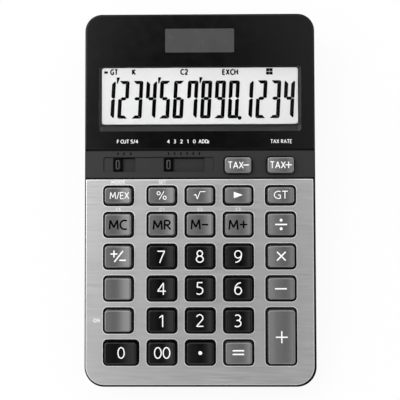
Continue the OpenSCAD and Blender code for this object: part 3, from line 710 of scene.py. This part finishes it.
def ribbon(path, width, ground, lift, end=0.35):
    """A closed ribbon along a path. Its section is width by height; towards each end the half width follows
    sin a to the power 0.7 while the path goes on by end times the half width times cos a. ground(u, v) gives
    the height below."""
    half = width / 2
    steps = np.hypot(*np.diff(path, axis=0).T)
    along = np.concatenate([[0], np.cumsum(steps)])
    even = np.linspace(0, along[-1], max(2, int(along[-1] / RIBBON_STEP) + 1))
    even = np.union1d(even, along[1:-1]) if len(path) < 6 else even
    middle = np.stack([np.interp(even, along, path[:, k]) for k in (0, 1)], -1)
    run = np.gradient(middle, axis=0)
    run /= np.hypot(*run.T)[:, None]
    a = np.radians([12, 35, 62])
    out = end * half * np.cos(a)[:, None]
    closing = half * np.sin(a) ** 0.7
    middle = np.concatenate([middle[:1] - run[:1] * out, middle, (middle[-1:] + run[-1:] * out)[::-1]])
    run = np.concatenate([np.repeat(run[:1], 3, 0), run, np.repeat(run[-1:], 3, 0)])
    halves = np.concatenate([closing, np.full(len(even), half), closing[::-1]])[:, None]
    across = np.stack([-run[:, 1], run[:, 0]], -1) * halves
    left, right = middle + across, middle - across
    rings = []
    for side, up in ((left, 1), (right, 1), (right, 0), (left, 0)):
        base = ground(side[:, 0], side[:, 1])
        rings.append(np.column_stack([side, base + (lift if up else -SUNK)]))
    n = len(middle)
    points = np.stack(rings, 1).reshape(-1, 3)
    ends = np.array([[0, 1, 2, 3], [4 * n - 1, 4 * n - 2, 4 * n - 3, 4 * n - 4]])
    return points, [ring_quads(n, 4)[:, ::-1], ends[:, ::-1]]


print("a 1 mm dash has", len(ribbon(line(0, 0, 1, 0), 0.5, lambda u, v: 0 * u, 0.02)[0]), "points")

# %% Lines of text
def gather(parts):
    """Join several (points, faces) into one."""
    shift, points, faces = 0, [], []
    for p, f in parts:
        points.append(p)
        faces += [quads + shift for quads in f]
        shift += len(p)
    return np.concatenate(points), faces


def text_strokes(text, centre, height, weight, width=None, gap=0.09):
    """Paths of a line of text, centred, height mm tall over all; width squeezes it to that many mm."""
    tall = height - weight
    at, strokes = 0, []
    for letter in text:
        advance, paths = GLYPHS[letter]
        strokes += [p + [at, 0] for p in paths]
        at += advance + gap + weight / tall
    at -= gap + weight / tall
    wide = (width - weight) if width else at * tall
    return [(p - [at / 2, 0.5]) * [wide / at, tall] + centre for p in strokes]


def printing(name, jobs, ground, material, body, slot):
    """One piece from many strokes: jobs is a list of (paths, weight, end)."""
    lowest, step, highest = LIFTS
    parts, lift = [], lowest
    for paths, weight, end in jobs:
        for path in paths:
            parts.append(ribbon(path, weight, ground, lift, end))
            lift = lift + step if lift + step <= highest else lowest
    return add_piece(name, *gather(parts), material, body, slot)


print("TAX takes", len(text_strokes("TAX", (0, 0), 3.4, 0.45)), "strokes")

# %% [markdown]
# ## Legends on the keys
# Signs are bars, crosses and dots, and words and figures are glyphs. Each legend is a list of strokes with
# a weight, drawn round the middle of its key and laid on the hollow. White print goes on most keys, dark
# print on the four memory keys.

# %% Print, and kinds of strokes
white_print = plastic("white_print", tone(246), tone(252), 0.5, grain=0.0004, depth=0.000004)
dark_print = plastic("dark_print", tone(3), tone(5), 0.5, grain=0.0004, depth=0.000004,
                     Specular_IOR_Level=0.02)


def bar(length, du=0.0, dv=0.0, turned=0):
    """A straight bar through (du, dv), turned by some degrees."""
    a = math.radians(turned)
    half = np.array([math.cos(a), math.sin(a)]) * length / 2
    return np.array([[du, dv] - half, [du, dv] + half])


def plus(length, weight, du=0.0, end=0.2):
    """An upright cross."""
    return [([bar(length, du), bar(length, du, turned=90)], weight, end)]


def disc(r, du=0.0, dv=0.0):
    """A dot: a very short bar as wide as it is long, with round ends."""
    return [([bar(0.02, du, dv)], 2 * r, 1.0)]


def worded(text, height, weight, width=None, centre=(0, 0)):
    """A line of text as one job of strokes."""
    return [(text_strokes(text, centre, height, weight, width), weight, 0.15)]


def memory(letter, width, du, m_du, dv=0.0):
    """M and a letter, as on the keys of the memory."""
    return worded("M", 5.0, 0.8, 4.75, (m_du, dv)) + worded(letter, 5.0, 0.8, width, (du, dv))


print("a plus has", len(plus(1, 0.1)[0][0]), "bars")

# %% Legends on the keys
DIGITS = {  # width over all, place on the key
    "0": (3.45, 0.3, 0.28), "1": (2.8, -0.03, 0.02), "2": (3.8, -0.18, 0.3), "3": (3.62, -0.42, 0.12),
    "4": (4.3, 0.03, 0.05), "5": (3.65, -0.22, 0.22), "6": (3.65, -0.27, 0.14), "7": (3.85, -0.24, -0.1),
    "8": (3.75, -0.12, 0.14), "9": (3.7, -0.17, 0.04), "00": (7.65, 0.23, 0.27),
}
LEGENDS = {  # jobs of (paths, weight, reach of the ends)
    "tax_minus": worded("TAX", 3.4, 0.45, 7.4, (-1.1, 0)) + [([bar(2.6, 3.8)], 0.5, 0.2)],
    "tax_plus": worded("TAX", 3.4, 0.45, 7.4, (-1.4, 0)) + plus(2.9, 0.45, 3.65),
    "exchange": worded("M/EX", 3.4, 0.38, 9.1, (0.73, 0.02)),
    "percent": [([arc(-1.4, 1.05, .75, .8, 0, 360), arc(1.45, -1.05, .75, .8, 0, 360)], 0.38, 0),
                ([line(-1.1, -1.9, 1.1, 1.9)], 0.35, 0.2)],
    "root": [([line(-2.77, .15, -1.98, .4), line(-1.98, .4, -1.22, -1.65)], 0.4, 0.3),
             ([line(-1.22, -1.75, .09, 1.75), line(.09, 1.75, 2.58, 1.75)], 0.36, 0.2)],
    "grand_total": worded("GT", 3.83, 0.42, 6.7, (0, 0.13)),
    "memory_clear": memory("C", 3.5, 2.4, -1.95),
    "memory_recall": memory("R", 3.6, 2.8, -1.8, -0.1),
    "memory_minus": worded("M", 5.2, 0.8, 4.8, (-2.0, 0.1)) + [([bar(2.9, 2.4)], 0.75, 0.2)],
    "memory_plus": worded("M", 5.2, 0.8, 4.8, (-2.3, -0.1)) + plus(3.4, 0.75, 2.45),
    "divide": [([bar(5.4)], 0.65, 0.3), *disc(0.66, 0, 2.0), *disc(0.66, 0, -2.0)],
    "multiply": [([bar(5.6, 0, .18, 45), bar(5.6, 0, .18, -45)], 0.63, 0.2)],
    "subtract": [([bar(5.4, -.3)], 0.65, 0.3)],
    "equals": [([bar(5.15, -.25, 1.25), bar(5.15, -.25, -.45)], 0.66, 0.3)],
    "add": plus(5.4, 0.58, end=0.3),
    "sign": [([bar(3.1, -1.85, 1.35), bar(3.1, -1.85, 1.35, 90), line(-1.6, -2.3, 2.3, 2.7),
               bar(2.9, 2.25, -1.6)], 0.62, 0.3)],
    "point": disc(0.85, 0, 0.2),
}
DIGIT_H, ZERO_H, DIGIT_WEIGHT = 5.95, 5.5, 0.52
for digit, (width, du, dv) in DIGITS.items():
    LEGENDS[digit] = worded(digit, ZERO_H if "0" in digit else DIGIT_H, DIGIT_WEIGHT, width, (du, dv))


def key_top(u, cap_w):
    """The ground of a key's legend: the hollow of a cap whose middle is at u."""
    return lambda x, y: hollow(x - u, cap_w)


for key, jobs in LEGENDS.items():
    u, v, well_w, _, margin = KEYS[key]
    placed = [([path + [u, v] for path in paths], weight, end) for paths, weight, end in jobs]
    material = dark_print if key.startswith("memory") else white_print
    printing(f"key_{key}_legend", placed, key_top(u, well_w - 2 * margin), material, f"key_{key}",
             "digit_key" if key in BLACK_KEYS else "grey_key")

u, v, well_w, _, margin = KEYS["backspace"]
arrow = np.array([[-1.9, -1.5], [2.3, 0], [-1.9, 1.5]])
height = hollow(arrow[:, 0], well_w - 2 * margin)
arrow_points = np.concatenate([np.column_stack([arrow, height + rise]) for rise in (0.03, -SUNK)])
add_piece("key_backspace_legend", arrow_points + [u - 0.2, v + 0.12, 0],
          [np.array([[0, 1, 2], [5, 4, 3]]), np.array([[0, 3, 4, 1], [1, 4, 5, 2], [2, 5, 3, 0]])],
          white_print, "key_backspace", "grey_key")
print(len(LEGENDS) + 1, "legends")

# %% [markdown]
# ## Printing on the plates
# Small white words name the switch positions on the black panel, dark ticks mark them on the strip, and a
# few pale words stand over the keys on the aluminium. All of them are ordinary words and figures.

# %% Words and ticks
def level(w):
    """Ground that is flat at one height."""
    return lambda u, v: np.full_like(u, w)


POSITIONS = [("F", -38.8), ("CUT", -35.6), ("5/4", -31.05), ("4", -14.85), ("3", -11.85), ("2", -8.7),
             ("1", -5.7), ("0", -2.6), ("ADD", 1.65)]
WORD_V = 27.3
words = [job for text, u in POSITIONS for job in worded(text, 1.85, 0.29, centre=(u, WORD_V))]
words += worded("2", 1.3, 0.28, centre=(4.0, WORD_V - 0.25))  # a smaller 2 follows ADD
words += worded("TAX RATE", 1.9, 0.24, 10.2, (38.5, WORD_V - 0.1))
printing("panel_words", words, level(0.0), white_print, "case", "display_panel")

TICKS, TICK_FROM, TICK_TO = [-38.8, -35.95, -32.7, -14.85, -12.0, -9.0, -6.0, -3.1, -0.2], 20.9, 22.1
printing("switch_ticks", [([line(u, TICK_FROM, u, TICK_TO) for u in TICKS], 0.6, 0.2)], level(0.0),
         dark_print, "case", "switch_plate")

pale_print = plastic("pale_print", tone(233), tone(239), 0.5, grain=0.0004, depth=0.000004)
SMALL = [("MODE", -38.7, 8.0, 6.7, 1.8), ("SET", -17.8, 8.0, 3.5, 1.8), ("C$", -38.6, -4.9, 2.4, 1.6),
         ("C1", -18.0, -4.9, 2.5, 1.6), ("C2", 0, -4.9, 2.5, 1.6), ("C3", 18.0, -4.9, 2.5, 1.6),
         ("ON", -48.9, -57.1, 3.2, 1.9)]  # place, width and height
words = [job for text, u, v, width, height in SMALL for job in worded(text, height, 0.36, width, (u, v))]
printing("keypad_words", words, level(0.0), pale_print, "case", "brushed_plate")
print(len(POSITIONS) + len(SMALL) + 2, "words on the plates")

# %% [markdown]
# ## The display
# The display shows a long number in seven-part figures. Each part is a small plate with slanted ends, so
# that neighbours meet at a fine gap; the outer edge of an upright is longer than its inner one. All parts
# lean a little to the right. They lie on a front glass that stands up in the mask, close under the window.
# Plates were chosen over a pattern in the glass because their edges stay crisp from near.

# %% The front glass
LCD_W = -1.7
GLASS, GLASS_FOOT = [(93.4, 27.0), (0, 49.2)], -3.55
lcd_glass, shader = start_material("lcd_glass", tone(220), Roughness=0.4, Specular_IOR_Level=0.2)
two_tones(lcd_glass, shader, noise(lcd_glass, size=0.03, detail=2), tone(219), tone(222))
bump(lcd_glass, shader, noise(lcd_glass, size=0.0002), 0.000002)

sheet = Sheet()
top, under = sheet.wall(*GLASS, [0.05, 0, 0], [LCD_W, LCD_W - 0.05, GLASS_FOOT], hole=False, r=1.5)
sheet.cap(top)
sheet.cap(under, up=False)
front = sheet.piece("lcd_front", lcd_glass, "case", "lcd_glass")
print(front.name, len(front.data.polygons), "faces")

# %% Shapes of the parts
FIGURE_W, FIGURE_H, BAR_Y, UPRIGHT, BAR, GAP = 5.05, 18.1, 9.5, 1.8, 1.55, 0.12
HALF_BAR = BAR / 2

left_low = [(0, .9), (0, BAR_Y - .45), (.4, BAR_Y - GAP), (.95, BAR_Y - GAP), (UPRIGHT, BAR_Y - .85),
            (UPRIGHT, BAR + .04), (.55, .31), (.3, .24)]
left_high = [(0, BAR_Y + .45), (0, FIGURE_H - .9), (.3, FIGURE_H - .24), (.55, FIGURE_H - .31),
             (UPRIGHT, FIGURE_H - BAR - .04), (UPRIGHT, BAR_Y + .85), (.95, BAR_Y + GAP), (.4, BAR_Y + GAP)]
floor_bar = [(.62, 0), (.45, .14), (.25 + BAR, BAR), (FIGURE_W - .25 - BAR, BAR), (FIGURE_W - .45, .14),
             (FIGURE_W - .62, 0)]
middle_bar = [(1.05, BAR_Y), (1.75, BAR_Y - HALF_BAR), (FIGURE_W - 1.75, BAR_Y - HALF_BAR),
              (FIGURE_W - 1.05, BAR_Y), (FIGURE_W - 1.75, BAR_Y + HALF_BAR), (1.75, BAR_Y + HALF_BAR)]
print("an upright has", len(left_low), "corners, a bar", len(middle_bar))

# %% Parts of a figure
def mirrored(shape, across=False):
    """The same part on the right (across) or upside down: x or y counted from the figure's other side."""
    x, y = np.array(shape, float)[::-1].T
    return np.stack([FIGURE_W - x, y] if across else [x, FIGURE_H - y], -1)


def anticlockwise(outline):
    """An outline turned so that the area by its corners' cross products is positive."""
    outline = np.asarray(outline, float)
    x, y = outline.T
    return outline if np.sum(x * np.roll(y, -1) - np.roll(x, -1) * y) > 0 else outline[::-1]


def low_plate(outline, above=0.04, below=0.02):
    """A flat prism over an anticlockwise outline, from just below the glass to just above it."""
    n = len(outline)
    levels = (LCD_W + above, LCD_W - below)
    points = np.concatenate([np.column_stack([outline, np.full(n, w)]) for w in levels])
    j = np.arange(n)
    walls = np.stack([j + n, (j + 1) % n + n, (j + 1) % n, j], -1)
    return points, [j[None, :], j[None, ::-1] + n, walls]


shapes = (mirrored(floor_bar), mirrored(left_high, True), mirrored(left_low, True), floor_bar, left_low,
          left_high, middle_bar)
PARTS = dict(zip("abcdefg", map(anticlockwise, shapes)))
print("a figure has", len(PARTS), "parts")

# %% Figures on the display
NUMBER = "12345678901234"
SHOWN = {"0": "abcdef", "1": "bc", "2": "abged", "3": "abgcd", "4": "fgbc", "5": "afgcd", "6": "afgedc",
         "7": "abcf", "8": "abcdefg", "9": "abcdfg"}
LEAN_RIGHT = math.tan(math.radians(3.1))
PITCH, FIRST_LEFT, FIGURE_FOOT = 6.575, -46.0, 38.43
COMMA_AFTER, COMMA_AT = (0, 3, 6), (6.85, 56.75)
COMMA = np.array([[-.4, -1.5], [.05, -1.5], [.95, .9], [1.0, 1.45], [-.5, 1.45]])
POINT_AT, POINT_R = (18.95, 38.6), .95

parts = []
for place, digit in enumerate(NUMBER):
    left = FIRST_LEFT + PITCH * place
    for letter in SHOWN[digit]:
        x, y = PARTS[letter].T
        parts.append(low_plate(np.stack([left + x + y * LEAN_RIGHT, y + FIGURE_FOOT], -1)))
    if place in COMMA_AFTER:
        parts.append(low_plate(COMMA + [left + COMMA_AT[0], COMMA_AT[1]]))
a = np.radians(np.arange(0, 360, 20))
parts.append(low_plate(POINT_R * np.stack([np.cos(a), np.sin(a)], -1) + POINT_AT))
lcd_ink = plastic("lcd_ink", tone(1), tone(4), 0.5, grain=0.0004, depth=0.000002, Specular_IOR_Level=0.01)
add_piece("lcd_figures", *gather(parts), lcd_ink, "case", "lcd_glass")
print(len(parts), "parts of figures on the display")

# %% Signs over the figures
SIGN_V = 60.75
signs = [([line(-45.6, 60.6, -43.9, 60.6)], 1.1, 0.1)]
signs += worded("GT", 3.0, 0.66, 3.9, (-40.9, SIGN_V)) + worded("K", 3.0, 0.72, 2.0, (-31.4, SIGN_V))
signs += worded("C2", 3.0, 0.68, 3.9, (-7.4, SIGN_V)) + worded("EXCH", 3.0, 0.68, 7.7, (14.5, 60.6))
signs += [([bar(1.44, 33.2 + du, 60.8 + dv)], 1.42, 0.05) for du in (-0.8, 0.8) for dv in (-0.8, 0.8)]
printing("lcd_signs", signs, level(LCD_W), lcd_ink, "case", "lcd_glass")
print(len(signs), "signs over the figures")

# %% [markdown]
# ## Windows, mask, cell
# The clear window lies flush with the panel. Glass stops lamps in a path tracer, so its shader is mixed
# with a Transparent one for shadow rays, and the display behind it stays lit. The mask round the display is
# matt black plastic. Its two side cheeks, past the ends of the glass, are a lighter grey, a painted
# highlight for the light that they catch, so its tone goes by the distance from the middle. The solar cell
# is four dark red-brown strips under a smoked window.

# %% The clear window
def mix_shaders(material, share, first, second):
    """Give the surface a mix of two shaders: share 0 is all the first, 1 all the second."""
    mix = add_node(material, "ShaderNodeMixShader", ("Fac", share), (1, first), (2, second))
    wire(material, mix.outputs["Shader"], material.node_tree.nodes["Material Output"], "Surface")


clear_acrylic, shader = start_material("clear_acrylic", tone(252), Transmission_Weight=1.0, IOR=1.25)
rough_spots(clear_acrylic, shader, noise(clear_acrylic, size=0.03, detail=1), 0.0, 0.004)
shadow_ray = add_node(clear_acrylic, "ShaderNodeLightPath").outputs["Is Shadow Ray"]
see_through = add_node(clear_acrylic, "ShaderNodeBsdfTransparent").outputs["BSDF"]
mix_shaders(clear_acrylic, shadow_ray, shader.outputs["BSDF"], see_through)
print(clear_acrylic.name, "has", len(clear_acrylic.node_tree.nodes), "nodes")

# %% Mask and smoked window
CHEEK_X, MM_PER_M = 46.0, 1000
mask_plastic, shader = start_material("mask_plastic", tone(26), Roughness=0.6)
place = add_node(mask_plastic, "ShaderNodeTexCoord").outputs["Object"]
across = add_node(mask_plastic, "ShaderNodeSeparateXYZ", ("Vector", place)).outputs["X"]
aside = reckon(mask_plastic, "ABSOLUTE", across)["Value"]
cheek_painted_light = reckon(mask_plastic, "MULTIPLY_ADD", aside, MM_PER_M, -CHEEK_X)["Value"]
# Painted highlight: past the glass ends the mask turns from tone 26 to 55, for the light that its cheeks
# catch.
two_tones(mask_plastic, shader, cheek_painted_light, tone(26), tone(55))
bump(mask_plastic, shader, noise(mask_plastic, size=0.0002), 0.00001)

smoked, shader = start_material("smoked_window", tone(70))
two_tones(smoked, shader, noise(smoked, size=0.01), tone(69), tone(72))
rough_spots(smoked, shader, noise(smoked, size=0.004, detail=1), 0.2, 0.28)
print(mask_plastic.name, "and", smoked.name, "ready")

# %% [markdown]
# ## Everything else
# The case, the windows, the mask and all that lies inside keep their solids, because their shape is all that
# shows of them. Each gets the finish of what it is made of: moulded plastic, rubber, fibreglass board, steel,
# gilded springs, resin. A finish goes on the hidden solids of plates, keys and knobs too, so that they match
# the pieces that stand for them.

# %% Finishes of the solids
def metal(name, dark, light, rough, stretch=(1, 1, 1)):
    """Bare metal: close tones and roughness from one noise, with a faint bump."""
    return grained(name, dark, light, (rough - 0.06, rough + 0.06), 0.000003, 0.0003, stretch, Metallic=1.0)


solder_mask, shader = start_material("solder_mask", tone(20, 74, 40), Roughness=0.35)
two_tones(solder_mask, shader, noise(solder_mask, stretch=(8, 1, 1), size=0.0008), tone(17, 66, 36),
          tone(26, 86, 48))
bump(solder_mask, shader, noise(solder_mask, size=0.0006), 0.00002)

silicon, shader = start_material("silicon", tone(60, 42, 44), Roughness=0.35)
two_tones(silicon, shader, noise(silicon, stretch=(1, 20, 1), size=0.003), tone(52, 38, 42), tone(66, 48, 48))

FINISHES = {
    case_plastic: ["upper_case"],
    cover_plastic: ["rear_cover", "battery_hatch"],
    clear_acrylic: ["display_window"],
    smoked: ["solar_window"],
    mask_plastic: ["lcd_bezel"],
    lcd_glass: ["lcd_module"],
    silicon: ["solar_cell"],
    solder_mask: ["circuit_board"],
    knob_black: ["rounding_knob", "decimal_knob"],
    plastic("contact_rubber", tone(196, 140, 146), tone(206, 150, 156), 0.7): ["lcd_connectors"],
    plastic("mat_rubber", tone(186), tone(196), 0.65, grain=0.0006): ["key_mat"],
    plastic("foot_rubber", tone(30), tone(36), 0.8, grain=0.0004, depth=0.00006): ["rubber_feet"],
    plastic("chip_resin", tone(16), tone(22), 0.22, grain=0.002): ["controller_chip"],
    plastic("component_bodies", tone(150, 108, 66), tone(170, 124, 78), 0.45): ["board_components"],
    plastic("red_wire", tone(150, 26, 24), tone(164, 32, 28), 0.4, grain=0.0008): ["solar_leads"],
    plastic("black_wire", tone(22), tone(28), 0.4, grain=0.0008): ["battery_leads"],
    metal("screw_steel", tone(150), tone(172), 0.34): ["board_screws", "case_screws", "hatch_screw"],
    metal("cell_steel", tone(196), tone(210), 0.28, stretch=(6, 1, 1)): ["coin_cell"],
    metal("spring_gilt", tone(206, 168, 92), tone(222, 186, 110), 0.3):
        ["battery_plus_contact", "battery_minus_contact", "rounding_wiper", "decimal_wiper"],
}


def finish(node, material):
    """Give every material slot of a CAD node one material."""
    slots = nodes[node].material_slots
    if not slots:
        nodes[node].data.materials.append(material)
    for slot in slots:
        slot.material = material


for material, names in FINISHES.items():
    for name in names:
        finish(name, material)
for key in KEYS:
    finish(f"key_{key}", key_black if key in BLACK_KEYS else grey_paint)
finish("keypad_plate", satin_aluminium)
finish("switch_plate", satin_graphite)
finish("display_panel", gloss_black)
print(sum(len(n) for n in FINISHES.values()) + len(KEYS) + 3, "nodes finished")

# %% [markdown]
# ## Studio
# The calculator lies on a white table in a tent of soft light, a little brighter at the left and far sides.
# Lamps alone would leave hard spots on the gloss. The camera looks in through a hole in the tent's roof:
# seen from there, gloss black mirrors the dark hole and stays black, while metal, edges and the sides of
# the panel mirror the bright cloth. The tent is the world's light, worked out from the direction of a ray:
# dark near one direction, then rising to full.

# %% The tent
VECTOR = "ShaderNodeVectorMath"
scene = bpy.context.scene
scene.view_settings.view_transform = "Standard"
tent = bpy.data.worlds.new("tent")
scene.world = tent
tent.use_nodes = True
direction = add_node(tent, "ShaderNodeTexCoord").outputs["Generated"]


def hole_in_cloth(centre, size, start, end, low, high):
    """Light that rises from low to high between two distances from a hole's centre, in its half sizes."""
    from_hole = reckon(tent, "ADD", direction, (-centre[0], -centre[1], 0), kind=VECTOR)["Vector"]
    counted = reckon(tent, "MULTIPLY", from_hole, (1 / size[0], 1 / size[1], 0), kind=VECTOR)["Vector"]
    away = reckon(tent, "LENGTH", counted, kind=VECTOR)["Value"]
    return add_node(tent, "ShaderNodeMapRange", ("Value", away), interpolation_type="SMOOTHSTEP",
                    From_Min=start, From_Max=end, To_Min=low, To_Max=high).outputs["Result"]


inner = hole_in_cloth((-0.02, -0.02), (0.25, 0.55), 0.2, 0.75, 0.02, 0.35)
outer = hole_in_cloth((0.04, -0.03), (0.3, 0.55), 0.78, 1.1, 0, 0.67)
cloth = reckon(tent, "ADD", inner, outer)["Value"]
leftward = reckon(tent, "DOT_PRODUCT", direction, (-0.47, 0.9, 0), kind=VECTOR)["Value"]
upward = add_node(tent, "ShaderNodeSeparateXYZ", ("Vector", direction)).outputs["Z"]
uneven = reckon(tent, "ADD", reckon(tent, "MULTIPLY", leftward, upward)["Value"], 1.07)["Value"]
light = reckon(tent, "MULTIPLY", cloth, uneven)["Value"]
wire(tent, light, tent.node_tree.nodes["Background"], "Color")
print("the tent has", len(tent.node_tree.nodes), "nodes")

# %% [markdown]
# A soft lamp at the left gives the keys and knobs their shadows. The table shines by itself to the camera,
# in reflections and through glass, so that it looks white there. It still holds a faint shadow, and it
# lights the calculator only as white paint would.

# %% Lamp and table
LAMP_AT, LAMP_SIZE, LAMP_POWER = (-0.6, 0.3, 0.8), 0.35, 3
lamp = bpy.data.objects.new("key_lamp", bpy.data.lights.new("key_lamp", "AREA"))
lamp.data.size, lamp.data.energy = LAMP_SIZE, LAMP_POWER
lamp.location = LAMP_AT
lamp.rotation_euler = (Vector((0, 0, 0.02)) - Vector(LAMP_AT)).to_track_quat("-Z", "Y").to_euler()
scene.collection.objects.link(lamp)

SHINE, TABLE_R = 0.92, 4
table_white, shader = start_material("table_white", tone(235), Roughness=0.9)
rays = add_node(table_white, "ShaderNodeLightPath").outputs
seen = reckon(table_white, "MAXIMUM", rays["Is Camera Ray"], rays["Is Glossy Ray"])["Value"]
seen = reckon(table_white, "MAXIMUM", seen, rays["Is Transmission Ray"])["Value"]
share = reckon(table_white, "MULTIPLY", seen, SHINE)["Value"]
shine = add_node(table_white, "ShaderNodeEmission").outputs["Emission"]
mix_shaders(table_white, share, shader.outputs["BSDF"], shine)

corners = TABLE_R * np.array([[-1, -1, 0], [1, -1, 0], [1, 1, 0], [-1, 1, 0]])
table = bpy.data.objects.new("table", fill_mesh("table", corners, [np.array([[0, 1, 2, 3]])]))
table.data.materials.append(table_white)
scene.collection.objects.link(table)
print("lit by", len(bpy.data.lights), "lamp and the tent")
